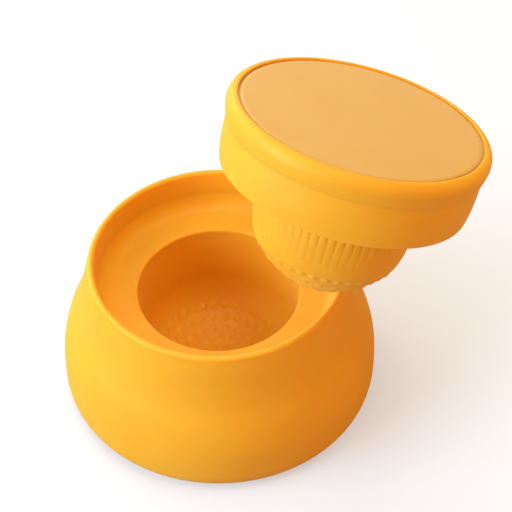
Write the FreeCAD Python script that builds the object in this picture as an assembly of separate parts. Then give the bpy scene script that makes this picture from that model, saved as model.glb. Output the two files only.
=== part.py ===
import FreeCAD
import Part
import math
import os

# Sushi rice mold press: a bell-shaped mold that stands on a table and a round press that is
# held in the hand. Rice goes into the cup through the round hole in the mold's shelf, and the
# press's ribbed, dotted plunger packs it. Millimetres, +Z up, origin on the table at the
# middle of the mold. The press hangs lifted and leaning, as a hand brings it to the mold.

# ---- driving dimensions: mold ----
BODY_HEIGHT = 61.1            # table to the top of the lip
RECESS_DEPTH = 15.6           # top of the lip down to the shelf
HOLE_RADIUS = 30.0            # round hole in the shelf, and the cup below it
RIM_RADIUS = 47.8             # outside of the lip
LIP_WALL = 2.5                # lip, from its inside to its outside
BELLY_RADIUS = 59.1           # widest part of the bell
BELLY_HEIGHT = 11.5
HEEL_STRAIGHT = 0.64          # share of the belly's height where the heel still runs straight
HEEL_WIDTH = 7.6              # width of the rounded heel, in to the flat ring under the bell
MOLD_WALL = 2.6
TRAY_WALL = 1.9               # rim of the tray that makes the recess's floor
SHELF_THICKNESS = 2.6
RECESS_DRAFT = 0.4            # the recess narrows by this much on its way down
RECESS_FILLET = 6.0           # soft corner between the recess wall and the shelf
HOLE_EDGE = 0.8               # rounding of the hole's edge
CUP_WALL = 2.0
CUP_FLANGE = 6.0              # width of the cup's flange under the shelf
CUP_BEND_HEIGHT = 22.0        # where the straight cup wall turns into its round floor
CUP_PAD_RADIUS = 12.0         # flat under the cup, standing on the base cover
FOOT_GAP = 0.8                # the sole lifts the bell this far off the table
COVER_THICKNESS = 2.6
COVER_BORDER = 3.0            # width of the bell's flat ring round the base cover
COVER_LEDGE = 1.8             # ledge in the bell that the base cover lies against
COVER_RISE = 0.2              # the base cover's underside lies this far above the bell's edge
SOLE_BORDER = 3.5             # width of the base cover that shows round the sole
SOLE_SINK = 1.0               # depth of the sole's recess in the base cover

# ---- driving dimensions: press ----
ROLL_BULGE = 1.5              # the rolled rim stands out this far from the skirt
ROLL_DEPTH = 4.5              # depths are measured down from the rim's top
VALLEY_DEPTH = 13.6           # where the roll runs into the skirt
VALLEY_BLEND = 1.8            # height of the soft corner there
SKIRT_TAPER = 0.6             # the skirt narrows by this much downwards
SKIRT_CORNER = 0.9            # rounding of the skirt's lower edge
UNDERSIDE_DEPTH = 25.1
CAP_FLOOR = 2.4
CAP_WALL = 2.6
CAP_CORNER = 1.6              # rounding inside the cap, where its wall meets its floor
RIM_WIDTH = 3.6               # from the seam out to the roll's widest part
RIM_FLAT = 0.4                # flat of the rim beside the seam
LID_THICKNESS = 2.4
LID_INSET = 0.2               # the lid's top lies this far below the rim's top
LID_EDGE = 0.8
PLUNGER_STRAIGHT = 8.9        # from the cap's underside to where the plunger starts to curve in
PLUNGER_WALL = 2.2
PLUNGER_FLANGE = 4.2          # width of the flange that lies on the cap's floor
PLUNGER_FLANGE_THICKNESS = 2.0
RIB_COUNT = 60
RIB_GAP = 1.4                 # from the cap's underside to the ribs
RIB_LENGTH = 18.0
RIB_FADE = 1.6                # length over which each end of a rib rises
RIB_HEIGHT = 0.5
RIB_SHARE = 0.66              # share of its pitch that each rib fills
RIB_ROOT = 0.6                # depth that the ribs and their ends reach into the wall
DOT_RADIUS = 1.1
DOT_SINK = 0.5                # each dot's centre lies this far under the skin
DOT_COUNTS = [1, 6, 12, 18, 24, 36]  # dots in each ring, from the middle out
DOT_REACH = 0.63              # share of the dome's curve from its middle to the last ring

# ---- clearances ----
COVER_CLEARANCE = 0.1         # base cover in the bell, and sole in the base cover
TRAY_CLEARANCE = 0.1          # tray in the bell
LID_CLEARANCE = 0.3           # the fine seam round the lid
NECK_CLEARANCE = 0.05         # plunger's neck in the cap's floor
PLUNGER_CLEARANCE = 0.9       # ribs of the plunger in the mold's hole
SKIRT_CLEARANCE = 0.3         # press's skirt in the mold's recess
RICE_LEFT = 2.4               # from the cup's floor to the plunger when the press is right in

# ---- where the press hangs ----
PRESS_PLACE = (49.8, -0.2)    # middle of the rim's top, seen from above
PRESS_LIFT = 3.6              # plunger's tip to the lip's top, if the press hung there upright
PRESS_TILT = 21.4             # degrees that the press leans off the vertical
PRESS_LEAN_AZIMUTH = 48.7     # degrees from +X to the side that it leans to

# ---- sizes that follow ----
LIP_HEIGHT = BODY_HEIGHT - LIP_WALL / 2
SHELF_HEIGHT = BODY_HEIGHT - RECESS_DEPTH
RECESS_RADIUS = RIM_RADIUS - LIP_WALL
RECESS_FLOOR_RADIUS = RECESS_RADIUS - RECESS_DRAFT
TRAY_TOP = SHELF_HEIGHT + RECESS_FILLET
TRAY_RADIUS = RECESS_FLOOR_RADIUS + TRAY_WALL
BASE_RADIUS = BELLY_RADIUS - HEEL_WIDTH
COVER_RADIUS = BASE_RADIUS - COVER_BORDER
COVER_BOTTOM = FOOT_GAP + COVER_RISE
COVER_TOP = COVER_BOTTOM + COVER_THICKNESS
CUP_FLOOR = COVER_TOP + CUP_WALL
SOLE_RADIUS = COVER_RADIUS - SOLE_BORDER
SKIRT_RADIUS = RECESS_RADIUS - SKIRT_CLEARANCE
SKIRT_END_RADIUS = SKIRT_RADIUS - SKIRT_TAPER
ROLL_RADIUS = SKIRT_RADIUS + ROLL_BULGE
LID_SEAT_RADIUS = ROLL_RADIUS - RIM_WIDTH
LID_RADIUS = LID_SEAT_RADIUS - LID_CLEARANCE
CAVITY_RADIUS = SKIRT_END_RADIUS - CAP_WALL
CAP_FLOOR_TOP = CAP_FLOOR - UNDERSIDE_DEPTH
PLUNGER_RADIUS = HOLE_RADIUS - PLUNGER_CLEARANCE - RIB_HEIGHT
FLANGE_RADIUS = PLUNGER_RADIUS + PLUNGER_FLANGE
SHOULDER_DEPTH = UNDERSIDE_DEPTH + PLUNGER_STRAIGHT

# The press is right in when its skirt's rounded edge meets the recess's soft corner.
CORNER_REACH = SKIRT_END_RADIUS - SKIRT_CORNER - (RECESS_FLOOR_RADIUS - RECESS_FILLET)
CORNER_DROP = math.sqrt((RECESS_FILLET - SKIRT_CORNER) ** 2 - CORNER_REACH ** 2)
SEATED_HEIGHT = TRAY_TOP - CORNER_DROP + UNDERSIDE_DEPTH - SKIRT_CORNER
PLUNGER_DEPTH = SEATED_HEIGHT - CUP_FLOOR - RICE_LEFT

PRESS_CENTRE = FreeCAD.Vector(*PRESS_PLACE, BODY_HEIGHT + PRESS_LIFT + PLUNGER_DEPTH)

# Share of the way from the belly to the lip: (of the radius, of the height)
BELL_CURVE = [(0.05, 0.20), (0.25, 0.39), (0.54, 0.56), (0.76, 0.74), (0.89, 0.89)]
# Share of the way from the roll's widest part to the skirt: (of the radius, of the depth)
ROLL_CURVE = [(0.2, 0.4), (0.6, 0.75), (0.93, 1.0)]
# Share of the way from the plunger's shoulder to its lowest point: (of the radius, of the depth)
PLUNGER_CURVE = [(0.025, 0.254), (0.047, 0.381), (0.08, 0.476), (0.15, 0.571), (0.234, 0.667),
                 (0.346, 0.762), (0.4825, 0.857), (0.703, 0.955)]
# How far the curve of the cup's floor keeps straight at its wall and at its middle
DOME_AT_WALL = 0.60
DOME_AT_MIDDLE = 0.66


# ---- outlines: every round piece is an outline in the XZ plane, turned about Z ----
def at(radius, height):
    return FreeCAD.Vector(radius, 0, height)


def line(start, end):
    return Part.makeLine(start, end)


def arc(centre, radius, from_degrees, to_degrees):
    """An arc in the XZ plane, from one angle to the other, counted up from +X."""
    points = []
    for share in (0.0, 0.5, 1.0):
        angle = math.radians(from_degrees + share * (to_degrees - from_degrees))
        points.append(centre + at(radius * math.cos(angle), radius * math.sin(angle)))
    return Part.Arc(*points).toShape()


def bezier(*poles):
    curve = Part.BezierCurve()
    curve.setPoles(list(poles))
    return curve


def spline(points, first_tangent, last_tangent):
    curve = Part.BSplineCurve()
    curve.interpolate(Points=points, InitialTangent=first_tangent, FinalTangent=last_tangent)
    return curve


def offset_edge(curve, distance):
    """A parallel of a curve in the XZ plane, to the left of its direction."""
    points = []
    tangents = []
    steps = 16
    for step in range(steps + 1):
        share = curve.FirstParameter + (curve.LastParameter - curve.FirstParameter) * step / steps
        tangent = curve.tangent(share)[0]
        points.append(curve.value(share) + at(-tangent.z, tangent.x) * distance)
        tangents.append(tangent)
    return spline(points, tangents[0], tangents[-1]).toShape()


def turn(edges):
    """The solid that closed edges sweep in a full turn about Z."""
    face = Part.Face(Part.Wire(Part.__sortEdges__(edges)))
    return face.revolve(at(0, 0), FreeCAD.Vector(0, 0, 1), 360)


def ends(edge):
    """The edge's lower and upper end point."""
    points = [vertex.Point for vertex in edge.Vertexes]
    return sorted(points, key=lambda point: point.z)


def ring(inner, outer, bottom, top):
    """A flat ring, or a disc when inner is 0."""
    disc = Part.makeCylinder(outer, top - bottom, at(0, bottom))
    if inner > 0:
        disc = disc.cut(Part.makeCylinder(inner, top - bottom, at(0, bottom)))
    return disc


# ---- mold ----
def bell_curve():
    """The outside of the bell, from its widest part up to its lip."""
    points = [at(BELLY_RADIUS, BELLY_HEIGHT)]
    for inward, upward in BELL_CURVE:
        radius = BELLY_RADIUS + inward * (RIM_RADIUS - BELLY_RADIUS)
        points.append(at(radius, BELLY_HEIGHT + upward * (LIP_HEIGHT - BELLY_HEIGHT)))
    points.append(at(RIM_RADIUS, LIP_HEIGHT))
    return spline(points, at(0, 1), at(-0.15, 1))


def heel_curve(radius, belly_radius, bottom):
    """The rounded heel, from the flat ring that the bell stands over out to its belly."""
    straight = HEEL_STRAIGHT * (BELLY_HEIGHT - bottom)
    return bezier(at(radius, bottom), at(belly_radius, bottom),
                  at(belly_radius, BELLY_HEIGHT - straight), at(belly_radius, BELLY_HEIGHT))


def make_mold_body():
    """The bell: its lip, the wall of the recess that takes the press's skirt, and its heel."""
    seat_radius = COVER_RADIUS + COVER_CLEARANCE
    ledge_radius = seat_radius - COVER_LEDGE
    ledge_top = COVER_TOP + COVER_LEDGE
    tray_seat = TRAY_RADIUS + TRAY_CLEARANCE
    lip_centre = at(RIM_RADIUS - LIP_WALL / 2, LIP_HEIGHT)
    outside = turn([
        heel_curve(BASE_RADIUS, BELLY_RADIUS, FOOT_GAP).toShape(),
        bell_curve().toShape(),
        arc(lip_centre, LIP_WALL / 2, 0, 180),
        line(at(RECESS_RADIUS, LIP_HEIGHT), at(RECESS_FLOOR_RADIUS, TRAY_TOP)),
        line(at(RECESS_FLOOR_RADIUS, TRAY_TOP), at(0, TRAY_TOP)),
        line(at(0, TRAY_TOP), at(0, FOOT_GAP)),
        line(at(0, FOOT_GAP), at(BASE_RADIUS, FOOT_GAP)),
    ])
    # The room inside the bell reaches from the ledge up to the tray's seat.
    wall = offset_edge(bell_curve(), MOLD_WALL)
    heel = heel_curve(COVER_RADIUS, BELLY_RADIUS - MOLD_WALL, ledge_top).toShape()
    foot, head = ends(wall)
    room = turn([
        line(at(0, ledge_top), at(COVER_RADIUS, ledge_top)),
        heel,
        wall,
        line(head, at(0, head.z)),
        line(at(0, head.z), at(0, ledge_top)),
    ])
    room = room.common(ring(0, BELLY_RADIUS, ledge_top, TRAY_TOP))
    tray_room = ring(0, tray_seat, foot.z, TRAY_TOP)
    mouth = ring(0, ledge_radius, 0, ledge_top)
    cover_seat = ring(0, seat_radius, 0, COVER_TOP)
    return outside.cut([room, tray_room, mouth, cover_seat])


def make_mold_tray():
    """The recess's floor: a shelf with a soft corner round it and the round hole in it."""
    underside = SHELF_HEIGHT - SHELF_THICKNESS
    fillet_centre = at(RECESS_FLOOR_RADIUS - RECESS_FILLET, TRAY_TOP)
    edge_centre = at(HOLE_RADIUS + HOLE_EDGE, SHELF_HEIGHT - HOLE_EDGE)
    return turn([
        line(at(TRAY_RADIUS, underside), at(TRAY_RADIUS, TRAY_TOP)),
        line(at(TRAY_RADIUS, TRAY_TOP), at(RECESS_FLOOR_RADIUS, TRAY_TOP)),
        arc(fillet_centre, RECESS_FILLET, 0, -90),
        line(fillet_centre - at(0, RECESS_FILLET), edge_centre + at(0, HOLE_EDGE)),
        arc(edge_centre, HOLE_EDGE, 90, 180),
        line(at(HOLE_RADIUS, edge_centre.z), at(HOLE_RADIUS, underside)),
        line(at(HOLE_RADIUS, underside), at(TRAY_RADIUS, underside)),
    ])


def make_mold_cup():
    """The cup that shapes the rice: it hangs from the shelf and stands on the base cover."""
    top = SHELF_HEIGHT - SHELF_THICKNESS
    outer = HOLE_RADIUS + CUP_WALL
    dome_rise = CUP_BEND_HEIGHT - CUP_FLOOR
    pad_rise = CUP_BEND_HEIGHT - COVER_TOP
    inner_dome = bezier(at(0, CUP_FLOOR), at(DOME_AT_MIDDLE * HOLE_RADIUS, CUP_FLOOR),
                        at(HOLE_RADIUS, CUP_BEND_HEIGHT - DOME_AT_WALL * dome_rise),
                        at(HOLE_RADIUS, CUP_BEND_HEIGHT))
    outer_dome = bezier(at(CUP_PAD_RADIUS, COVER_TOP),
                        at(DOME_AT_MIDDLE * outer, COVER_TOP),
                        at(outer, CUP_BEND_HEIGHT - DOME_AT_WALL * pad_rise),
                        at(outer, CUP_BEND_HEIGHT))
    shell = turn([
        line(at(0, COVER_TOP), at(CUP_PAD_RADIUS, COVER_TOP)),
        outer_dome.toShape(),
        line(at(outer, CUP_BEND_HEIGHT), at(outer, top)),
        line(at(outer, top), at(HOLE_RADIUS, top)),
        line(at(HOLE_RADIUS, top), at(HOLE_RADIUS, CUP_BEND_HEIGHT)),
        inner_dome.toShape(),
        line(at(0, CUP_FLOOR), at(0, COVER_TOP)),
    ])
    flange = ring(HOLE_RADIUS + CUP_WALL / 2, HOLE_RADIUS + CUP_FLANGE, top - CUP_WALL, top)
    return shell.fuse([flange] + dots_on(inner_dome, side=1))


def make_mold_base():
    """The cover that closes the bell from below, with a recess for the sole."""
    plate = ring(0, COVER_RADIUS, COVER_BOTTOM, COVER_TOP)
    recess = ring(0, SOLE_RADIUS + COVER_CLEARANCE, COVER_BOTTOM, COVER_BOTTOM + SOLE_SINK)
    return plate.cut(recess)


def make_mold_sole():
    """The round rubber sole that the mold stands on."""
    return ring(0, SOLE_RADIUS, 0, COVER_BOTTOM + SOLE_SINK)


# ---- press, made upright with its rim's top at z = 0 and then placed ----
def make_press_cap():
    """The hand-held shell: a rolled rim, a soft valley, a skirt and a floor."""
    neck_radius = PLUNGER_RADIUS + NECK_CLEARANCE
    lid_seat = -(LID_INSET + LID_THICKNESS)
    corner = min(CAP_CORNER, CAVITY_RADIUS - FLANGE_RADIUS)
    side = [at(ROLL_RADIUS, -ROLL_DEPTH)]
    for inward, downward in ROLL_CURVE:
        radius = ROLL_RADIUS + inward * (SKIRT_RADIUS - ROLL_RADIUS)
        side.append(at(radius, -(ROLL_DEPTH + downward * (VALLEY_DEPTH - ROLL_DEPTH))))
    edge_centre = at(SKIRT_END_RADIUS - SKIRT_CORNER, SKIRT_CORNER - UNDERSIDE_DEPTH)
    side += [at(SKIRT_RADIUS, -(VALLEY_DEPTH + VALLEY_BLEND)), edge_centre + at(SKIRT_CORNER, 0)]
    rim_start = at(LID_SEAT_RADIUS + RIM_FLAT, 0)
    roll = bezier(rim_start, rim_start + at(RIM_WIDTH / 2, 0),
                  at(ROLL_RADIUS, -ROLL_DEPTH / 3), at(ROLL_RADIUS, -ROLL_DEPTH))
    corner_centre = at(CAVITY_RADIUS - corner, CAP_FLOOR_TOP + corner)
    return turn([
        line(at(LID_SEAT_RADIUS, 0), rim_start),
        roll.toShape(),
        spline(side, at(0, -1), at(0, -1)).toShape(),
        arc(edge_centre, SKIRT_CORNER, 0, -90),
        line(edge_centre - at(0, SKIRT_CORNER), at(neck_radius, -UNDERSIDE_DEPTH)),
        line(at(neck_radius, -UNDERSIDE_DEPTH), at(neck_radius, CAP_FLOOR_TOP)),
        line(at(neck_radius, CAP_FLOOR_TOP), corner_centre - at(0, corner)),
        arc(corner_centre, corner, -90, 0),
        line(corner_centre + at(corner, 0), at(CAVITY_RADIUS, lid_seat)),
        line(at(CAVITY_RADIUS, lid_seat), at(LID_SEAT_RADIUS, lid_seat)),
        line(at(LID_SEAT_RADIUS, lid_seat), at(LID_SEAT_RADIUS, 0)),
    ])


def make_press_lid():
    """The flat disc that closes the cap, set in flush behind a fine seam."""
    top = -LID_INSET
    bottom = top - LID_THICKNESS
    return turn([
        line(at(0, bottom), at(LID_RADIUS, bottom)),
        line(at(LID_RADIUS, bottom), at(LID_RADIUS, top - LID_EDGE)),
        arc(at(LID_RADIUS - LID_EDGE, top - LID_EDGE), LID_EDGE, 0, 90),
        line(at(LID_RADIUS - LID_EDGE, top), at(0, top)),
        line(at(0, top), at(0, bottom)),
    ])


def plunger_curve():
    """The outside of the plunger's domed end, from its lowest point up to its straight wall."""
    drop = PLUNGER_DEPTH - SHOULDER_DEPTH
    points = [at(PLUNGER_RADIUS, -SHOULDER_DEPTH)]
    for inward, downward in PLUNGER_CURVE:
        points.append(at(PLUNGER_RADIUS * (1 - inward), -(SHOULDER_DEPTH + downward * drop)))
    points.append(at(0, -PLUNGER_DEPTH))
    return spline(points[::-1], at(1, 0), at(0, 1))


def dots_on(dome, side):
    """Small domes in rings along a domed floor, out to where it gets steep, on its given side."""
    spacing = DOT_REACH * dome.length() / (len(DOT_COUNTS) - 1)
    dots = []
    for number, count in enumerate(DOT_COUNTS):
        share = dome.parameterAtDistance(number * spacing, dome.FirstParameter)
        tangent = dome.tangent(share)[0]
        middle = dome.value(share) - at(-tangent.z, tangent.x) * side * DOT_SINK
        for step in range(count):
            angle = 2 * math.pi * (step + number % 2 / 2) / count
            place = FreeCAD.Vector(middle.x * math.cos(angle), middle.x * math.sin(angle), middle.z)
            dots.append(Part.makeSphere(DOT_RADIUS, place))
    return dots


def make_ribs(dome):
    """Upright ribs round the plunger, from just under the cap to where its dome curves in."""
    start = UNDERSIDE_DEPTH + RIB_GAP
    end = start + RIB_LENGTH
    crest = []
    for depth, height in ((start, -RIB_ROOT), (start + RIB_FADE, RIB_HEIGHT),
                          ((start + end) / 2, RIB_HEIGHT), (end - RIB_FADE, RIB_HEIGHT),
                          (end, -RIB_ROOT)):
        radius = PLUNGER_RADIUS
        if depth > SHOULDER_DEPTH:
            level = Part.LineSegment(at(0, -depth), at(2 * PLUNGER_RADIUS, -depth))
            radius = dome.intersectCC(level)[0].X
        crest.append(at(radius + height, -depth))
    outline = [spline(crest, at(1, -1), at(-1, -1)).toShape(), line(crest[-1], crest[0])]
    width = 360 / RIB_COUNT * RIB_SHARE
    rib = Part.Face(Part.Wire(outline)).revolve(at(0, 0), FreeCAD.Vector(0, 0, 1), width)
    ribs = []
    for number in range(RIB_COUNT):
        turned = rib.copy()
        turned.rotate(at(0, 0), FreeCAD.Vector(0, 0, 1), 360 / RIB_COUNT * number - width / 2)
        ribs.append(turned)
    return ribs


def make_press_plunger():
    """The hollow plunger that packs the rice: ribs round its wall and dots on its dome."""
    flange_top = CAP_FLOOR_TOP + PLUNGER_FLANGE_THICKNESS
    inner_radius = PLUNGER_RADIUS - PLUNGER_WALL
    dome = plunger_curve()
    shell = turn([
        dome.toShape(),
        line(at(PLUNGER_RADIUS, -SHOULDER_DEPTH), at(PLUNGER_RADIUS, CAP_FLOOR_TOP)),
        line(at(PLUNGER_RADIUS, CAP_FLOOR_TOP), at(FLANGE_RADIUS, CAP_FLOOR_TOP)),
        line(at(FLANGE_RADIUS, CAP_FLOOR_TOP), at(FLANGE_RADIUS, flange_top)),
        line(at(FLANGE_RADIUS, flange_top), at(inner_radius, flange_top)),
        line(at(inner_radius, flange_top), at(inner_radius, -SHOULDER_DEPTH)),
        offset_edge(dome, PLUNGER_WALL),
        line(at(0, -PLUNGER_DEPTH), at(0, PLUNGER_WALL - PLUNGER_DEPTH)),
    ])
    return shell.fuse(make_ribs(dome) + dots_on(dome, side=-1))


def place_press(shape):
    """Lean the upright press and lift it to where it hangs."""
    lean = math.radians(PRESS_LEAN_AZIMUTH)
    axis = FreeCAD.Vector(-math.sin(lean), math.cos(lean), 0)
    shape.Placement = FreeCAD.Placement(PRESS_CENTRE, FreeCAD.Rotation(axis, PRESS_TILT))
    return shape


def export(name, shape):
    if shape.ShapeType != "Solid":
        shape = shape.Solids[0]
    shape.exportStep(os.path.join("parts", name + ".step"))


os.makedirs("parts", exist_ok=True)
export("mold_body", make_mold_body())
export("mold_tray", make_mold_tray())
export("mold_cup", make_mold_cup())
export("mold_base", make_mold_base())
export("mold_sole", make_mold_sole())
export("press_cap", place_press(make_press_cap()))
export("press_lid", place_press(make_press_lid()))
export("press_plunger", place_press(make_press_plunger()))
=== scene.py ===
import math

import bpy
from mathutils import Matrix, Vector
from mathutils.geometry import interpolate_bezier


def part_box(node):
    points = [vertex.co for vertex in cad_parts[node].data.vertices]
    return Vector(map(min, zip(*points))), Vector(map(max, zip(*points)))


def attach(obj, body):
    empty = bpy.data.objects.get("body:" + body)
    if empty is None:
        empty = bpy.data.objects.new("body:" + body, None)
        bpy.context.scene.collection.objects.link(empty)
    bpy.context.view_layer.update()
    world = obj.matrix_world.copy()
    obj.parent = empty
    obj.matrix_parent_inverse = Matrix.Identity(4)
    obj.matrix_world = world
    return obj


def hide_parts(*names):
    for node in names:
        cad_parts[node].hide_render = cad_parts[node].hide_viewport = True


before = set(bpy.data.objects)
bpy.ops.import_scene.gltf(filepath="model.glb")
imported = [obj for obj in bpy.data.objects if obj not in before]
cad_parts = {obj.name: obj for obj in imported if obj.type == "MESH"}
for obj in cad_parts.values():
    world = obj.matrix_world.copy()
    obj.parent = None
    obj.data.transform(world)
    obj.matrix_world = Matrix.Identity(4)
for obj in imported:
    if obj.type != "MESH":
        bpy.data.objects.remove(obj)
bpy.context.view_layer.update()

bl_info = {
    "name": "Sushi rice mold press",
    "version": (1, 0, 0),
    "blender": (4, 5, 0),
    "location": "View3D > Sidebar > Rice press",
    "description": "Models a bell-shaped rice mold and the round, ribbed press that fits it",
    "category": "Object",
}

MM = 0.001

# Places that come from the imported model
SOLE_BOTTOM, SOLE_TOP = (corner.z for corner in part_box("mold_sole"))
COVER_BOTTOM, COVER_TOP = (corner.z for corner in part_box("mold_base"))
BELL_BOTTOM, BELL_TOP = (corner.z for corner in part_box("mold_body"))
TRAY_BOTTOM, TRAY_TOP = (corner.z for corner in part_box("mold_tray"))
TRAY_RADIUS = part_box("mold_tray")[1].x
CUP_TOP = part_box("mold_cup")[1].z
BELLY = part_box("mold_body")[1].x
SOLE_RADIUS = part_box("mold_sole")[1].x
COVER_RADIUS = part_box("mold_base")[1].x

# Fits and walls that several pieces share
SNUG = 0.1 * MM                 # gap round a piece that is let into another
TIGHT = 0.05 * MM               # gap round a piece that is pressed into another
WALL = 2.6 * MM                 # wall of the bell and of the cap
LEDGE = 1.8 * MM                # ledge in the bell that the base cover lies against
CAP_FLOOR = 2.4 * MM
PLUNGER_FLANGE = 2.0 * MM       # flange that lies on the cap's floor
LID_SEAT_DEPTH = 2.6 * MM

# Outlines, as shares of the way from one end of a stretch to the other
BELL_CURVE = ((0, 0), (0.05, 0.20), (0.25, 0.39), (0.54, 0.56), (0.76, 0.74), (0.89, 0.89), (1, 1))
ROLL_CURVE = ((0, 0), (0.27, 0.42), (0.6, 0.79), (0.97, 1))
SKIRT_CURVE = ((-0.03, 0.06), (-0.02, 0.2), (0.02, 0.37), (0.2, 0.6), (0.5, 0.8), (1, 1))
PLUNGER_CURVE = ((0, 0), (0.025, 0.254), (0.047, 0.381), (0.08, 0.476), (0.15, 0.571),
                 (0.234, 0.667), (0.346, 0.762), (0.4825, 0.857), (0.703, 0.955), (1, 1))
HEEL_STRAIGHT = 0.64            # of the belly's height, where the heel still runs straight
FLOOR_AT_WALL = 0.60            # how far the cup's floor keeps straight at its wall
FLOOR_AT_MIDDLE = 0.66          # and at its middle

# Ribs: across one, and along one's end, as shares of its height
RIB_PROFILE = (0, 0.62, 0.92, 1, 0.92, 0.62)
RIB_END = ((0, 0), (0.15, 0.4), (0.4, 0.75), (0.7, 0.94), (1, 1))
RIB_ROWS = (0.7, 0.4, 0.1, -0.3)  # rows of corners between a rib's ends

# Dots: a section, as shares of the radius and the height, and how many each ring holds
DOT_PROFILE = ((0, 1), (0.25, 0.93), (0.45, 0.76), (0.65, 0.5), (0.82, 0.24), (1, 0.02),
               (1.1, -0.3), (1, -1), (0, -1))
DOT_COUNTS = (1, 6, 12, 18, 24, 36)
DOT_REACH = 0.63                # of the dome's curve, from its middle to the last ring
DOT_SHIFT_FROM = 4              # from this ring on, rings are turned by half a step

# Fineness of the meshes
STEPS = 192                     # around a round piece
DOT_STEPS = 20                  # around a dot
CRISP_ANGLE = math.radians(40)  # edges sharper than this aren't smoothed over
ONE_POINT = 0.001 * MM          # points nearer than this are one

MOLD_PLASTIC = "Polypropylene, injection moulded, mold"
PRESS_PLASTIC = "Polypropylene, injection moulded, press"
LID_PLASTIC = "ABS, injection moulded, lid"
SOLE_RUBBER = "Silicone rubber, compression moulded"
FLOOR_PAINT = "White sweep, painted"


# ---- colours ----
def linear(code):
    """The linear colour of an sRGB hex code, with alpha 1."""
    channels = []
    for start in (0, 2, 4):
        value = int(code[start:start + 2], 16) / 255
        channels.append(value / 12.92 if value <= 0.04045 else ((value + 0.055) / 1.055) ** 2.4)
    return (*channels, 1.0)


def length(name, description, millimetres):
    return bpy.props.FloatProperty(name=name, description=description, default=millimetres * MM,
                                   subtype="DISTANCE", unit="LENGTH")


def colour(name, description, code):
    return bpy.props.FloatVectorProperty(name=name, description=description, size=4, min=0, max=1,
                                         subtype="COLOR", default=linear(code))


class MoldSizes(bpy.types.PropertyGroup):
    rim_radius: length("Lip radius", "Outside of the bell's lip", 47.8)
    lip_wall: length("Lip wall", "Thickness of the lip", 2.5)
    belly_height: length("Belly height", "Height of the bell's widest part", 11.5)
    base_radius: length("Base radius", "Outside of the flat ring under the bell", 51.5)
    hole_radius: length("Hole radius", "Round hole in the shelf, and the cup", 30.0)
    hole_edge: length("Hole edge", "Rounding of the hole's edge", 0.8)
    recess_fillet: length("Recess corner", "Soft corner between recess and shelf", 6.0)
    recess_draft: length("Recess draft", "How much the recess narrows downwards", 0.4)
    cup_wall: length("Cup wall", "Thickness of the cup", 2.0)
    cup_bend: length("Cup bend", "Height where the cup's wall turns into its floor", 22.0)


class PressSizes(bpy.types.PropertyGroup):
    roll_radius: length("Roll radius", "Widest part of the rolled rim", 46.5)
    roll_depth: length("Roll depth", "Rim's top down to its widest part", 4.0)
    valley_depth: length("Valley depth", "Rim's top down to the foot of the roll", 9.4)
    skirt_radius: length("Skirt radius", "Outside of the skirt", 45.1)
    skirt_taper: length("Skirt taper", "How much the skirt narrows to its lower edge", 1.1)
    skirt_corner: length("Skirt corner", "Rounding of the skirt's lower edge", 0.45)
    underside: length("Underside depth", "Rim's top down to the cap's underside", 25.1)
    lid_radius: length("Lid radius", "Flat disc in the rim", 42.35)
    lid_gap: length("Lid gap", "Fine seam between the lid and the rim", 0.8)
    lid_edge: length("Lid edge", "Drop of the lid's soft edge at the seam", 0.6)
    lid_crown: length("Lid crown", "Width of the lid's soft edge", 1.6)
    rim_edge: length("Rim edge", "Rounding of the rim's edge at the seam", 0.3)
    plunger_radius: length("Plunger radius", "Wall between the ribs", 28.6)
    plunger_shoulder: length("Plunger shoulder", "Where the dome starts", 34.0)
    plunger_depth: length("Plunger depth", "Rim's top to the bottom of the dome", 65.5)
    rib_start: length("Rib start", "Depth of the ribs' upper ends", 26.5)
    rib_end: length("Rib end", "Depth of the ribs' lower ends", 44.5)
    rib_fade: length("Rib fade", "Length over which a rib's end rises", 1.6)
    rib_height: length("Rib height", "How far the ribs stand out", 0.5)
    rib_count: bpy.props.IntProperty(name="Ribs", description="Ribs round the plunger", default=60)
    dot_radius: length("Dot radius", "Size of the dots on the dome", 1.65)
    dot_height: length("Dot height", "How far the dots stand out", 0.4)
    centre: bpy.props.FloatVectorProperty(name="Centre", description="Middle of the rim's top",
                                          default=(49.8 * MM, -0.2 * MM, 130.2 * MM),
                                          subtype="TRANSLATION")
    tilt: bpy.props.FloatProperty(name="Tilt", description="Lean off the vertical",
                                  default=math.radians(21.4), subtype="ANGLE")
    azimuth: bpy.props.FloatProperty(name="Azimuth", description="Side that it leans to, from +X",
                                     default=math.radians(48.7), subtype="ANGLE")


class PlasticColours(bpy.types.PropertyGroup):
    mold: colour("Mold", "Moulded polypropylene of the mold", "EEB32A")
    mold_deep: colour("Mold, deep", "The same where the wall is thick", "ECAE26")
    press: colour("Press", "Moulded polypropylene of the press", "EEB42C")
    press_deep: colour("Press, deep", "The same where the wall is thick", "ECAF28")
    glaze: colour("Glaze", "Tint of the plastic's soft gloss", "FFE6BE")
    lid: colour("Lid", "Moulded ABS of the lid", "D6AA34")
    lid_deep: colour("Lid, deep", "The same, in the grain's hollows", "D3A62F")
    sole: colour("Sole", "Silicone rubber of the sole", "E8942A")
    floor: colour("Floor", "Pale table", "E2ECFA")
    floor_bounce: colour("Floor's bounce", "Light that the table throws back up", "E2CCA8")
    room: colour("Room", "Warm fill from the room", "FFD48C")
    window: colour("Window", "Cool daylight from the left", "D6E8FF")
    sky: colour("Sky", "Hazy daylight from behind", "FFF2DE")
    reflector: colour("Reflector", "Warm card at the right", "FFA85C")


# ---- shading nodes ----
def add_node(tree, kind, settings=None, inputs=None, links=None):
    """A shading node with its settings, its input values and its links."""
    node = tree.nodes.new(kind)
    for name, value in (settings or {}).items():
        setattr(node, name, value)
    for name, value in (inputs or {}).items():
        node.inputs[name].default_value = value
    for name, source in (links or {}).items():
        tree.links.new(source, node.inputs[name])
    return node


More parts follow.
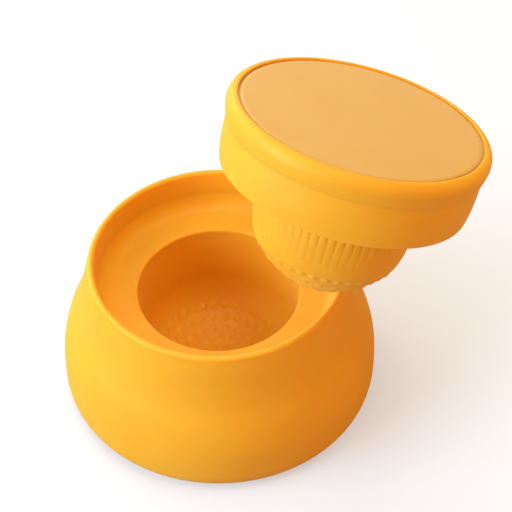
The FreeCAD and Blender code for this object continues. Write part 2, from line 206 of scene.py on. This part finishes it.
def moulded_plastic(name, light, deep, glaze, grain, grain_depth, roughness, translucence,
                    gloss_level=0.5, haze=0.14):
    """Injection-moulded plastic from a spark-eroded mould: an even, slightly translucent
    colour, a fine grain that spreads the highlights, and faint flow clouds in the colour."""
    cloud_size = 30 * MM
    roughness_spread = 0.05
    material = bpy.data.materials.new(name)
    material.use_nodes = True
    tree = material.node_tree
    tree.nodes.clear()
    place = add_node(tree, "ShaderNodeTexCoord").outputs["Object"]
    clouds = add_node(tree, "ShaderNodeTexNoise", None,
                      {"Scale": 1 / cloud_size, "Detail": 2.0, "Roughness": 0.5}, {"Vector": place})
    spread = add_node(tree, "ShaderNodeMapRange", None, {"From Min": 0.35, "From Max": 0.65},
                      {"Value": clouds.outputs["Fac"]})
    tint = add_node(tree, "ShaderNodeMix", {"data_type": "RGBA"},
                    {"A": light, "B": deep}, {"Factor": spread.outputs["Result"]})
    speckle = add_node(tree, "ShaderNodeTexNoise", None,
                       {"Scale": 1 / grain, "Detail": 3.0, "Roughness": 0.6}, {"Vector": place})
    gloss = add_node(tree, "ShaderNodeMapRange", None,
                     {"From Min": 0.3, "From Max": 0.7, "To Min": roughness - roughness_spread,
                      "To Max": roughness + roughness_spread}, {"Value": speckle.outputs["Fac"]})
    bump = add_node(tree, "ShaderNodeBump", None, {"Strength": 0.6, "Distance": grain_depth},
                    {"Height": speckle.outputs["Fac"]})
    shader = add_node(tree, "ShaderNodeBsdfPrincipled", {"subsurface_method": "RANDOM_WALK"},
                      {"IOR": 1.49, "Specular Tint": glaze, "Specular IOR Level": gloss_level,
                       "Sheen Weight": haze, "Sheen Tint": glaze, "Sheen Roughness": 0.5,
                       "Subsurface Weight": translucence, "Subsurface Radius": (1.0, 0.3, 0.1),
                       "Subsurface Scale": 2 * MM},
                      {"Base Color": tint.outputs["Result"], "Roughness": gloss.outputs["Result"],
                       "Normal": bump.outputs["Normal"]})
    add_node(tree, "ShaderNodeOutputMaterial", None, None, {"Surface": shader.outputs["BSDF"]})
    return material


def silicone_rubber(name, tone):
    """Moulded silicone rubber: dull, soft and a little dusty."""
    dust_size = 0.8 * MM
    dust_depth = 0.04 * MM
    material = bpy.data.materials.new(name)
    material.use_nodes = True
    tree = material.node_tree
    tree.nodes.clear()
    place = add_node(tree, "ShaderNodeTexCoord").outputs["Object"]
    dust = add_node(tree, "ShaderNodeTexNoise", None,
                    {"Scale": 1 / dust_size, "Detail": 3.0}, {"Vector": place})
    dulled = add_node(tree, "ShaderNodeMapRange", None, {"To Min": 0.7, "To Max": 0.9},
                      {"Value": dust.outputs["Fac"]})
    bump = add_node(tree, "ShaderNodeBump", None, {"Strength": 0.5, "Distance": dust_depth},
                    {"Height": dust.outputs["Fac"]})
    shader = add_node(tree, "ShaderNodeBsdfPrincipled", None, {"Base Color": tone, "IOR": 1.41},
                      {"Roughness": dulled.outputs["Result"], "Normal": bump.outputs["Normal"]})
    add_node(tree, "ShaderNodeOutputMaterial", None, None, {"Surface": shader.outputs["BSDF"]})
    return material


def pale_floor(name, tone, bounce):
    """A white sweep: it takes the object's shadow near the middle and reads as white around it."""
    near = 0.3
    far = 1.0
    white_share = 0.45
    material = bpy.data.materials.new(name)
    material.use_nodes = True
    tree = material.node_tree
    tree.nodes.clear()
    rays = add_node(tree, "ShaderNodeLightPath")
    place = add_node(tree, "ShaderNodeTexCoord").outputs["Object"]
    reach = add_node(tree, "ShaderNodeVectorMath", {"operation": "LENGTH"}, None, {"Vector": place})
    fade = add_node(tree, "ShaderNodeMapRange", None,
                    {"From Min": near, "From Max": far, "To Min": white_share, "To Max": 1.0},
                    {"Value": reach.outputs["Value"]})
    share = add_node(tree, "ShaderNodeMix", {"data_type": "FLOAT"}, {"A": white_share},
                     {"Factor": rays.outputs["Is Camera Ray"], "B": fade.outputs["Result"]})
    seen = add_node(tree, "ShaderNodeMix", {"data_type": "RGBA"}, {"A": bounce, "B": tone},
                    {"Factor": rays.outputs["Is Camera Ray"]})
    surface = add_node(tree, "ShaderNodeBsdfDiffuse", None, None, {"Color": seen.outputs["Result"]})
    glow = add_node(tree, "ShaderNodeEmission", None, {"Color": (1, 1, 1, 1)},
                    {"Strength": rays.outputs["Is Camera Ray"]})
    lift = add_node(tree, "ShaderNodeMixShader", None, None, {"Fac": share.outputs["Result"]})
    tree.links.new(surface.outputs["BSDF"], lift.inputs[1])
    tree.links.new(glow.outputs["Emission"], lift.inputs[2])
    add_node(tree, "ShaderNodeOutputMaterial", None, None, {"Surface": lift.outputs["Shader"]})
    return material


# ---- outlines: lists of (radius, height) from one end of a round piece's section to the other ----
def arc(radius, height, size, start, end, steps=8):
    """An arc about (radius, height), from one angle to the other in degrees, counted up from +X."""
    points = []
    for step in range(steps + 1):
        angle = math.radians(start + (end - start) * step / steps)
        points.append((radius + size * math.cos(angle), height + size * math.sin(angle)))
    return points


def bend(start, start_handle, end_handle, end, steps=14):
    """A smooth bend from start to end, drawn towards its two handles."""
    corners = [Vector((*corner, 0)) for corner in (start, start_handle, end_handle, end)]
    return [(point.x, point.y) for point in interpolate_bezier(*corners, steps + 1)]


def flow(points, first_slope, last_slope, steps=8):
    """A curve through all the points, smooth where they meet."""
    spots = [Vector(point) for point in points]
    slopes = [Vector(first_slope).normalized() * (spots[1] - spots[0]).length]
    for before, after in zip(spots, spots[2:]):
        slopes.append((after - before) / 2)
    slopes.append(Vector(last_slope).normalized() * (spots[-1] - spots[-2]).length)
    outline = []
    for number in range(len(spots) - 1):
        start, end = spots[number], spots[number + 1]
        piece = bend(start, start + slopes[number] / 3, end - slopes[number + 1] / 3, end, steps)
        outline += piece if number == 0 else piece[1:]
    return outline


def joined(*stretches):
    """One outline from several, without the points that two of them share."""
    outline = []
    for stretch in stretches:
        for point in stretch:
            if not outline or (Vector(point) - Vector(outline[-1])).length > ONE_POINT:
                outline.append(tuple(point))
    return outline


# ---- modelling ----
def nothing_selected():
    if bpy.context.object and bpy.context.object.mode != "OBJECT":
        bpy.ops.object.mode_set(mode="OBJECT")
    bpy.ops.object.select_all(action="DESELECT")


def select_only(*pieces):
    nothing_selected()
    for piece in pieces:
        piece.select_set(True)
    bpy.context.view_layer.objects.active = pieces[0]


def turned(name, outline, steps=STEPS):
    """A round piece, drawn up ring by ring along its outline, as on a lathe."""
    rings = [(max(radius, ONE_POINT), height) for radius, height in outline]
    nothing_selected()
    bpy.ops.mesh.primitive_circle_add(vertices=steps, radius=rings[0][0], location=(0, 0, rings[0][1]))
    piece = bpy.context.object
    piece.name = piece.data.name = name
    bpy.ops.object.transform_apply(location=True)
    bpy.ops.object.mode_set(mode="EDIT")
    bpy.ops.mesh.select_all(action="SELECT")
    for (radius, height), (next_radius, next_height) in zip(rings, rings[1:]):
        bpy.ops.mesh.extrude_region_move(
            TRANSFORM_OT_translate={"value": (0, 0, next_height - height)})
        growth = next_radius / radius
        bpy.ops.transform.resize(value=(growth, growth, 1), center_override=(0, 0, 0))
    bpy.ops.mesh.select_all(action="SELECT")
    bpy.ops.mesh.remove_doubles(threshold=3 * ONE_POINT)
    bpy.ops.mesh.normals_make_consistent(inside=False)
    bpy.ops.object.mode_set(mode="OBJECT")
    bpy.ops.object.shade_smooth_by_angle(angle=CRISP_ANGLE)
    return piece


def unite(piece, other):
    """Join a second closed shape to a piece as one skin."""
    select_only(piece)
    bpy.ops.object.modifier_add(type="BOOLEAN")
    modifier = piece.modifiers[-1]
    modifier.operation = "UNION"
    modifier.solver = "MANIFOLD"
    modifier.object = other
    bpy.ops.object.modifier_apply(modifier=modifier.name)
    bpy.data.objects.remove(other)


def radius_at(outline, height):
    """The radius of an outline at a height, for an outline that rises all the way."""
    for (radius, low), (next_radius, high) in zip(outline, outline[1:]):
        if low <= height <= high:
            return radius + (next_radius - radius) * (height - low) / (high - low)
    raise ValueError("the outline doesn't reach this height")


def raise_ribs(piece, sizes, rows):
    """Pull upright ribs out of a round wall, terrace by terrace; rows holds (height, share)."""
    same_height = 0.01 * MM
    pitch = 2 * math.pi / (sizes.rib_count * len(RIB_PROFILE))
    row_levels = sorted({share for height, share in rows})
    column_levels = sorted(set(RIB_PROFILE))
    for row_low, row_high in zip(row_levels, row_levels[1:]):
        heights = [height for height, share in rows if share >= row_high]
        for column_low, column_high in zip(column_levels, column_levels[1:]):
            select_only(piece)
            bpy.ops.object.mode_set(mode="EDIT")
            bpy.ops.mesh.select_mode(type="VERT")
            bpy.ops.mesh.select_all(action="DESELECT")
            bpy.ops.object.mode_set(mode="OBJECT")
            for corner in piece.data.vertices:
                place = corner.co
                column = round(math.atan2(place.y, place.x) / pitch) % len(RIB_PROFILE)
                near = min(abs(place.z - height) for height in heights) < same_height
                corner.select = near and RIB_PROFILE[column] >= column_high
            bpy.ops.object.mode_set(mode="EDIT")
            bpy.ops.transform.shrink_fatten(
                value=sizes.rib_height * (row_high - row_low) * (column_high - column_low))
    bpy.ops.object.mode_set(mode="OBJECT")


def dome_outline(radius, shoulder, bottom):
    """From the middle of a domed floor out and up to where it meets the straight wall."""
    return bend((0, bottom), (FLOOR_AT_MIDDLE * radius, bottom),
                (radius, shoulder + FLOOR_AT_WALL * (bottom - shoulder)), (radius, shoulder), 26)


def dotted(piece, outline, side, sizes):
    """Raise rings of small dots on a domed floor, out to where it gets steep."""
    dot = turned("dot", [(outward * sizes.dot_radius, upward * sizes.dot_height)
                         for outward, upward in DOT_PROFILE], DOT_STEPS)
    spots = [Vector((x, z)) for x, z in outline]
    total = sum((after - before).length for before, after in zip(spots, spots[1:]))
    spacing = DOT_REACH * total / (len(DOT_COUNTS) - 1)
    dots = []
    for ring, count in enumerate(DOT_COUNTS):
        wanted = ring * spacing
        for before, after in zip(spots, spots[1:]):
            stretch = (after - before).length
            if wanted <= stretch:
                break
            wanted -= stretch
        run = (after - before).normalized()
        middle = before + run * wanted
        normal = Vector((-run.y, run.x)) * side
        facing = Vector((normal.x, 0, normal.y)).to_track_quat("Z", "Y").to_matrix().to_4x4()
        shift = 0.5 if ring >= DOT_SHIFT_FROM else 0
        for step in range(count):
            around = Matrix.Rotation(2 * math.pi * (step + shift) / count, 4, "Z")
            copy = dot.copy()
            copy.data = dot.data.copy()
            bpy.context.collection.objects.link(copy)
            copy.data.transform(around @ Matrix.Translation((middle.x, 0, middle.y)) @ facing)
            dots.append(copy)
    bpy.data.objects.remove(dot)
    select_only(*dots)
    bpy.ops.object.join()
    unite(piece, dots[0])


def place_press(piece, sizes):
    """Lean an upright piece of the press and lift it to where it hangs."""
    axis = Vector((-math.sin(sizes.azimuth), math.cos(sizes.azimuth), 0))
    piece.matrix_world = Matrix.Translation(sizes.centre) @ Matrix.Rotation(sizes.tilt, 4, axis)
    select_only(piece)
    bpy.ops.object.transform_apply(location=True, rotation=True, scale=True)


def finish_piece(piece, material, body, node):
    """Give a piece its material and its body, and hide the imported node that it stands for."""
    piece.data.materials.clear()
    piece.data.materials.append(material)
    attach(piece, body)
    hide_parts(node)


# ---- mold ----
class MoldBell(bpy.types.Operator):
    """Add the bell: its lip, the wall of the recess and its rounded heel"""
    bl_idname = "rice_press.mold_bell"
    bl_label = "Bell"

    def execute(self, context):
        sizes = context.scene.mold_sizes
        lip = sizes.lip_wall / 2
        lip_height = BELL_TOP - lip
        seat_radius = COVER_RADIUS + SNUG
        seat_edge = 0.4 * MM
        ledge_radius = seat_radius - LEDGE
        ledge_top = COVER_TOP + LEDGE
        heel_straight = HEEL_STRAIGHT * (sizes.belly_height - BELL_BOTTOM)
        bell = [(BELLY + inward * (sizes.rim_radius - BELLY),
                 sizes.belly_height + upward * (lip_height - sizes.belly_height))
                for inward, upward in BELL_CURVE]
        inside = [(radius - WALL, height) for radius, height in bell[:4]][::-1]
        recess_floor = sizes.rim_radius - sizes.lip_wall - sizes.recess_draft
        tray_seat = TRAY_RADIUS + SNUG
        outline = joined(
            [(seat_radius, COVER_TOP)],
            arc(seat_radius + seat_edge, BELL_BOTTOM + seat_edge, seat_edge, 180, 270, 5),
            bend((sizes.base_radius, BELL_BOTTOM), (BELLY, BELL_BOTTOM),
                 (BELLY, sizes.belly_height - heel_straight), (BELLY, sizes.belly_height), 24),
            flow(bell, (0, 1), (-0.15, 1), 10),
            arc(sizes.rim_radius - lip, lip_height, lip, 0, 180, 16),
            [(recess_floor, TRAY_TOP), (tray_seat, TRAY_TOP), (tray_seat, TRAY_BOTTOM)],
            inside,
            [(seat_radius, ledge_top), (ledge_radius, ledge_top), (ledge_radius, COVER_TOP),
             (seat_radius, COVER_TOP)],
        )
        bell_piece = turned("bell", outline)
        finish_piece(bell_piece, bpy.data.materials[MOLD_PLASTIC], "mold", "mold_body")
        return {"FINISHED"}


class MoldTray(bpy.types.Operator):
    """Add the recess's floor: a shelf with a soft corner round it and the round hole in it"""
    bl_idname = "rice_press.mold_tray"
    bl_label = "Tray"

    def execute(self, context):
        sizes = context.scene.mold_sizes
        recess_floor = sizes.rim_radius - sizes.lip_wall - sizes.recess_draft
        fillet = sizes.recess_fillet
        edge = sizes.hole_edge
        tray = turned("tray", joined(
            [(TRAY_RADIUS, TRAY_BOTTOM), (TRAY_RADIUS, TRAY_TOP)],
            arc(recess_floor - fillet, TRAY_TOP, fillet, 0, -90, 16),
            arc(sizes.hole_radius + edge, TRAY_TOP - fillet - edge, edge, 90, 180, 6),
            [(sizes.hole_radius, TRAY_BOTTOM), (TRAY_RADIUS, TRAY_BOTTOM)]))
        finish_piece(tray, bpy.data.materials[MOLD_PLASTIC], "mold", "mold_tray")
        return {"FINISHED"}


class MoldCup(bpy.types.Operator):
    """Add the cup that shapes the rice, with dots on its round floor"""
    bl_idname = "rice_press.mold_cup"
    bl_label = "Rice cup"

    def execute(self, context):
        sizes = context.scene.mold_sizes
        radius = sizes.hole_radius
        outer = radius + sizes.cup_wall
        floor = COVER_TOP + sizes.cup_wall
        flange_width = 6 * MM
        flange = radius + flange_width
        inside = dome_outline(radius, sizes.cup_bend, floor)
        outside = dome_outline(outer, sizes.cup_bend, COVER_TOP)[::-1]
        outline = joined(inside, [(radius, CUP_TOP), (flange, CUP_TOP),
                                  (flange, CUP_TOP - sizes.cup_wall), (outer, CUP_TOP - sizes.cup_wall)],
                         outside)
        cup = turned("rice_cup", outline)
        dotted(cup, inside, 1, context.scene.press_sizes)
        finish_piece(cup, bpy.data.materials[MOLD_PLASTIC], "mold", "mold_cup")
        return {"FINISHED"}


class MoldBase(bpy.types.Operator):
    """Add the cover that closes the bell from below"""
    bl_idname = "rice_press.mold_base"
    bl_label = "Base cover"

    def execute(self, context):
        sink = SOLE_TOP - COVER_BOTTOM
        recess = SOLE_RADIUS + SNUG
        edge = 0.3 * MM
        cover = turned("base_cover", joined(
            [(0, COVER_BOTTOM + sink), (recess, COVER_BOTTOM + sink), (recess, COVER_BOTTOM)],
            arc(COVER_RADIUS - edge, COVER_BOTTOM + edge, edge, -90, 0, 4),
            [(COVER_RADIUS, COVER_TOP), (0, COVER_TOP)]))
        finish_piece(cover, bpy.data.materials[MOLD_PLASTIC], "mold", "mold_base")
        return {"FINISHED"}


class MoldSole(bpy.types.Operator):
    """Add the rubber sole under the base cover, with round grooves in its tread"""
    bl_idname = "rice_press.mold_sole"
    bl_label = "Sole"

    def execute(self, context):
        edge = 0.5 * MM
        grooves = 6
        mouth = 1.2 * MM
        root = 0.8 * MM
        groove_top = SOLE_BOTTOM + 0.5 * MM
        tread = [(0, SOLE_BOTTOM)]
        for number in range(1, grooves + 1):
            middle = SOLE_RADIUS * number / (grooves + 1)
            tread += [(middle - mouth, SOLE_BOTTOM), (middle - root, groove_top),
                      (middle + root, groove_top), (middle + mouth, SOLE_BOTTOM)]
        sole = turned("sole", joined(
            tread, arc(SOLE_RADIUS - edge, SOLE_BOTTOM + edge, edge, -90, 0, 5),
            [(SOLE_RADIUS, SOLE_TOP), (0, SOLE_TOP)]))
        finish_piece(sole, bpy.data.materials[SOLE_RUBBER], "mold", "mold_sole")
        return {"FINISHED"}


# ---- press ----
class PressCap(bpy.types.Operator):
    """Add the hand-held shell: rolled rim, valley, skirt and turned-in underside"""
    bl_idname = "rice_press.press_cap"
    bl_label = "Cap"

    def execute(self, context):
        sizes = context.scene.press_sizes
        seat = sizes.lid_radius + sizes.lid_gap
        edge = sizes.rim_edge
        corner = sizes.skirt_corner
        rim_start = (seat + edge, 0)
        rim_width = sizes.roll_radius - seat
        skirt_end = sizes.skirt_radius - sizes.skirt_taper
        roll_end = (sizes.roll_radius, -sizes.roll_depth)
        inset = sizes.roll_radius - sizes.skirt_radius
        drop = sizes.valley_depth - sizes.roll_depth
        roll_foot = [(sizes.roll_radius - inward * inset, -(sizes.roll_depth + downward * drop))
                     for inward, downward in ROLL_CURVE]
        fall = sizes.underside - corner - sizes.valley_depth
        skirt = [(sizes.skirt_radius - narrower * sizes.skirt_taper,
                  -(sizes.valley_depth + downward * fall)) for narrower, downward in SKIRT_CURVE]
        neck = sizes.plunger_radius + TIGHT
        inside = skirt_end - WALL
        floor = CAP_FLOOR - sizes.underside
        outline = joined(
            [(seat, -LID_SEAT_DEPTH)],
            arc(seat + edge, -edge, edge, 180, 90, 5),
            bend(rim_start, (rim_start[0] + rim_width / 2, 0),
                 (sizes.roll_radius, -sizes.roll_depth / 3), roll_end, 14),
            flow(roll_foot, (0, -1), (-0.4, -1), 6),
            flow(roll_foot[-1:] + skirt, (0.1, -1), (-0.25, -1), 5),
            arc(skirt_end - corner, corner - sizes.underside, corner, 0, -90, 6),
            [(neck, -sizes.underside), (neck, floor), (inside, floor), (inside, -LID_SEAT_DEPTH),
             (seat, -LID_SEAT_DEPTH)],
        )
        cap = turned("cap", outline)
        place_press(cap, sizes)
        finish_piece(cap, bpy.data.materials[PRESS_PLASTIC], "press", "press_cap")
        return {"FINISHED"}


class PressLid(bpy.types.Operator):
    """Add the flat disc that closes the cap behind a fine seam"""
    bl_idname = "rice_press.press_lid"
    bl_label = "Lid"

    def execute(self, context):
        sizes = context.scene.press_sizes
        top = -0.2 * MM
        step_top = -1.1 * MM
        step_radius = sizes.lid_radius + sizes.lid_gap - TIGHT
        soft_edge = [(sizes.lid_radius, top - sizes.lid_edge),
                     (sizes.lid_radius - 0.2 * sizes.lid_crown, top - 0.35 * sizes.lid_edge),
                     (sizes.lid_radius - sizes.lid_crown, top)]
        lid = turned("lid", joined(
            [(0, -LID_SEAT_DEPTH), (step_radius, -LID_SEAT_DEPTH), (step_radius, step_top),
             (sizes.lid_radius, step_top)],
            flow(soft_edge, (0, 1), (-1, 0), 5),
            [(0, top)]))
        place_press(lid, sizes)
        finish_piece(lid, bpy.data.materials[LID_PLASTIC], "press", "press_lid")
        return {"FINISHED"}


class PressPlunger(bpy.types.Operator):
    """Add the plunger, with ribs round its wall and dots on its dome"""
    bl_idname = "rice_press.press_plunger"
    bl_label = "Plunger"

    def execute(self, context):
        sizes = context.scene.press_sizes
        radius = sizes.plunger_radius
        drop = sizes.plunger_depth - sizes.plunger_shoulder
        points = [(radius * (1 - inward), -(sizes.plunger_shoulder + downward * drop))
                  for inward, downward in PLUNGER_CURVE]
        dome = flow(points[::-1], (1, 0), (0, 1), 6)
        flange_top = CAP_FLOOR + PLUNGER_FLANGE - sizes.underside
        skin = dome + [(radius, flange_top)]
        middle = (sizes.rib_start + sizes.rib_end) / 2
        half = (sizes.rib_end - sizes.rib_start) / 2
        rows = [(-(middle + half - along * sizes.rib_fade), share) for along, share in RIB_END]
        rows += [(-(middle + (half - sizes.rib_fade) * along), 1) for along in RIB_ROWS]
        rows += [(-(middle - half + along * sizes.rib_fade), share) for along, share in RIB_END[::-1]]
        row_gap = 0.3 * MM
        cage = [spot for spot in dome if spot[1] < rows[0][0] - row_gap]
        cage += [(radius_at(skin, height), height) for height, share in rows]
        cage += [(radius, flange_top), (0, flange_top)]
        plunger = turned("plunger", cage, sizes.rib_count * len(RIB_PROFILE))
        raise_ribs(plunger, sizes, rows)
        dotted(plunger, dome, -1, sizes)
        place_press(plunger, sizes)
        finish_piece(plunger, bpy.data.materials[PRESS_PLASTIC], "press", "press_plunger")
        return {"FINISHED"}


# ---- finishes and stage ----
class Finishes(bpy.types.Operator):
    """Make the plastics, the rubber and the floor's paint"""
    bl_idname = "rice_press.finishes"
    bl_label = "Finishes"

    def execute(self, context):
        colours = context.scene.plastic_colours
        moulded_plastic(MOLD_PLASTIC, colours.mold, colours.mold_deep, colours.glaze,
                        grain=0.35 * MM, grain_depth=0.02 * MM, roughness=0.5, translucence=0.6)
        moulded_plastic(PRESS_PLASTIC, colours.press, colours.press_deep, colours.glaze,
                        grain=0.35 * MM, grain_depth=0.02 * MM, roughness=0.5, translucence=0.6)
        # The lid's finer, deeper grain scatters a pale gloss over it
        moulded_plastic(LID_PLASTIC, colours.lid, colours.lid_deep, (1, 1, 1, 1),
                        grain=0.3 * MM, grain_depth=0.03 * MM, roughness=0.45, translucence=0.3,
                        gloss_level=1.0, haze=0.45)
        silicone_rubber(SOLE_RUBBER, colours.sole)
        pale_floor(FLOOR_PAINT, colours.floor, colours.floor_bounce)
        return {"FINISHED"}


def soft_lamp(name, place, aim, size, power, tone):
    """A square soft box that faces a point."""
    nothing_selected()
    bpy.ops.object.light_add(type="AREA", location=place)
    lamp = bpy.context.object
    lamp.name = name
    lamp.data.size = size
    lamp.data.energy = power
    lamp.data.color = tone[:3]
    lamp.visible_camera = False
    lamp.rotation_euler = (Vector(aim) - Vector(place)).to_track_quat("-Z", "Y").to_euler()


class Stage(bpy.types.Operator):
    """Add the floor, the lamps and the camera"""
    bl_idname = "rice_press.stage"
    bl_label = "Stage"

    def execute(self, context):
        scene = context.scene
        colours = scene.plastic_colours
        floor_size = 30
        nothing_selected()
        bpy.ops.mesh.primitive_plane_add(size=floor_size, location=(0, 0, 0))
        floor = context.object
        floor.name = "floor"
        floor.data.materials.append(bpy.data.materials[FLOOR_PAINT])

        middle = (0.02, 0, 0.06)
        soft_lamp("window_lamp", (-1.3, -0.5, 0.6), middle, size=1.0, power=30.5, tone=colours.window)
        soft_lamp("top_lamp", (0, 0, 1.6), middle, size=1.0, power=10, tone=(1, 1, 1, 1))
        soft_lamp("back_lamp", (-0.6, 1.3, 0.6), middle, size=1.6, power=21, tone=colours.sky)
        soft_lamp("warm_card", (1.3, -0.5, 0.5), middle, size=0.9, power=7.5, tone=colours.reflector)

        fill_strength = 0.46
        world = bpy.data.worlds.new("studio")
        scene.world = world
        world.use_nodes = True
        tree = world.node_tree
        tree.nodes.clear()
        rays = add_node(tree, "ShaderNodeLightPath")
        strength = add_node(tree, "ShaderNodeMapRange", None, {"To Min": fill_strength, "To Max": 1.0},
                            {"Value": rays.outputs["Is Camera Ray"]})
        tone = add_node(tree, "ShaderNodeMix", {"data_type": "RGBA"},
                        {"A": colours.room, "B": (1, 1, 1, 1)},
                        {"Factor": rays.outputs["Is Camera Ray"]})
        room = add_node(tree, "ShaderNodeBackground", None, None,
                        {"Color": tone.outputs["Result"], "Strength": strength.outputs["Result"]})
        add_node(tree, "ShaderNodeOutputWorld", None, None, {"Surface": room.outputs["Background"]})

        place = Vector((0, -462.5, 555.5)) * MM
        aim = Vector((13.9, 1.4, 61.1)) * MM
        bpy.ops.object.camera_add(location=place)
        camera = context.object
        camera.rotation_euler = (aim - place).to_track_quat("-Z", "Y").to_euler()
        camera.data.sensor_width = 36
        camera.data.lens = 130.6
        camera.data.clip_start = 0.01
        scene.camera = camera
        scene.view_settings.view_transform = "Standard"
        return {"FINISHED"}


class RicePressPanel(bpy.types.Panel):
    """The sizes, the colours and the pieces of the rice press"""
    bl_idname = "VIEW3D_PT_rice_press"
    bl_label = "Rice press"
    bl_space_type = "VIEW_3D"
    bl_region_type = "UI"
    bl_category = "Rice press"

    def draw(self, context):
        layout = self.layout
        for group in (context.scene.mold_sizes, context.scene.press_sizes,
                      context.scene.plastic_colours):
            box = layout.box()
            for name in group.__annotations__:
                box.prop(group, name)
        for operator in OPERATORS:
            layout.operator(operator.bl_idname)


OPERATORS = (Finishes, MoldBell, MoldTray, MoldCup, MoldBase, MoldSole, PressCap, PressLid,
             PressPlunger, Stage)
GROUPS = (MoldSizes, PressSizes, PlasticColours)


def register():
    for each in GROUPS + OPERATORS + (RicePressPanel,):
        bpy.utils.register_class(each)
    bpy.types.Scene.mold_sizes = bpy.props.PointerProperty(type=MoldSizes)
    bpy.types.Scene.press_sizes = bpy.props.PointerProperty(type=PressSizes)
    bpy.types.Scene.plastic_colours = bpy.props.PointerProperty(type=PlasticColours)


def unregister():
    del bpy.types.Scene.plastic_colours
    del bpy.types.Scene.press_sizes
    del bpy.types.Scene.mold_sizes
    for each in reversed(GROUPS + OPERATORS + (RicePressPanel,)):
        bpy.utils.unregister_class(each)


def main():
    register()
    bpy.ops.rice_press.finishes()
    bpy.ops.rice_press.mold_bell()
    bpy.ops.rice_press.mold_tray()
    bpy.ops.rice_press.mold_cup()
    bpy.ops.rice_press.mold_base()
    bpy.ops.rice_press.mold_sole()
    bpy.ops.rice_press.press_cap()
    bpy.ops.rice_press.press_lid()
    bpy.ops.rice_press.press_plunger()
    bpy.ops.rice_press.stage()


if __name__ == "__main__":
    main()
